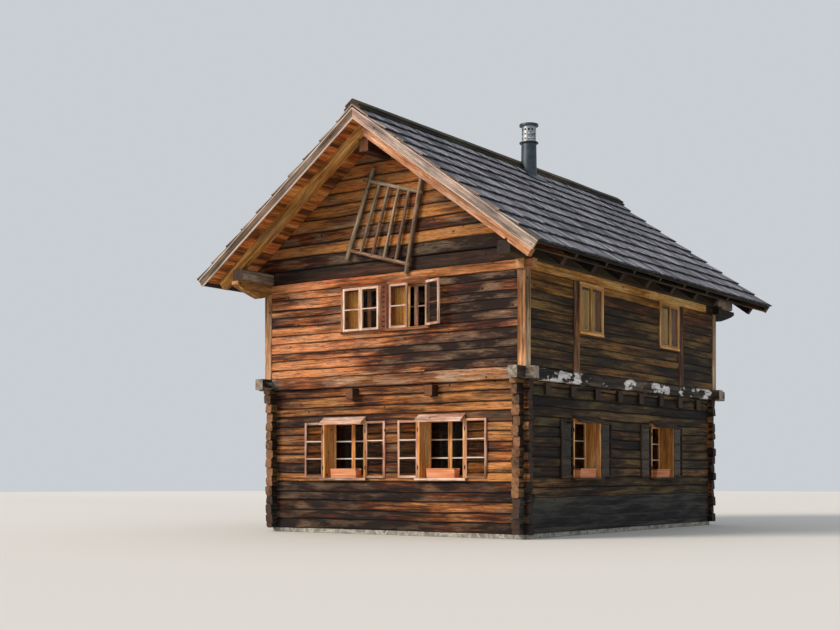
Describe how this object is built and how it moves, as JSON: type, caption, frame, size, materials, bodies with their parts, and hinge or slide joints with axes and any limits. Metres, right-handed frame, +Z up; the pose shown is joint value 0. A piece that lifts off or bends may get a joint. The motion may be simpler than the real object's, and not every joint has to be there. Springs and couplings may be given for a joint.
{
  "type": "alpine chalet",
  "caption": "Two-storey timber house: notched log ground floor, post-and-plank upper storey, shingled gable roof with wide overhangs, open casements and a hay rack on the gable.",
  "frame": {"origin": "centre of the roof's plan, at the underside of the plinth", "axes": "+Z up, +Y from the front gable to the rear one along the ridge, +X to the right"},
  "size_m": [7.66, 10.27, 8.47],
  "materials": {
    "stone": "rough field stone and mortar",
    "log_front": "sun-burnt hewn larch",
    "log_side": "dark weathered hewn larch",
    "plank_front": "sun-burnt planks",
    "plank_side": "dark weathered planks",
    "post": "weathered squared timber",
    "beam": "weathered squared timber",
    "gable": "sun-burnt hewn logs",
    "soffit": "sawn boards, sheltered",
    "rafter": "sawn timber, sheltered",
    "barge": "grey weathered board",
    "shingle": "grey split larch shingles",
    "ridge": "dark mossy boards",
    "lining": "planed softwood",
    "casing": "planed larch, oiled",
    "sash": "planed larch, weathered",
    "box_clay": "matt terracotta",
    "rack": "grey peeled poles",
    "pipe_metal": "dark grey paint",
    "cowl_metal": "bright stainless",
    "glass": "clear"
  },
  "bodies": {
    "root": {"plinth": "stone", "floors": "lining", "front_log_wall": "log_front", "back_log_wall": "log_side", "left_log_wall": "log_side", "right_log_wall": "log_side", "lower_lining": "lining", "floor_joists": "beam", "long_beams": "beam", "cross_sills": "post", "side_sills": "beam", "drip_board": "barge", "corner_posts": "post", "side_posts": "beam", "front_planks": "plank_front", "back_planks": "plank_side", "left_planks": "plank_side", "right_planks": "plank_side", "upper_lining": "lining", "tie_beams": "gable", "wall_plates": "beam", "gable_foot_logs": "beam", "front_gable_logs": "gable", "back_gable_logs": "gable", "eave_purlins": "beam", "ridge_purlin": "rafter", "rafters": "rafter", "flying_rafters": "rafter", "roof_boards": "soffit", "battens": "rafter", "left_shingles": "shingle", "right_shingles": "shingle", "ridge_cap": "ridge", "barge_boards": "barge", "chimney_pipe": "pipe_metal", "chimney_cowl": "cowl_metal", "lower_casings": "casing", "lower_sashes": "casing", "lower_casements": "sash", "upper_casings": "sash", "upper_sashes": "sash", "window_glass": "glass", "window_boxes": "box_clay", "back_door": "sash", "hay_rack": "rack"}
  },
  "joints": []
}
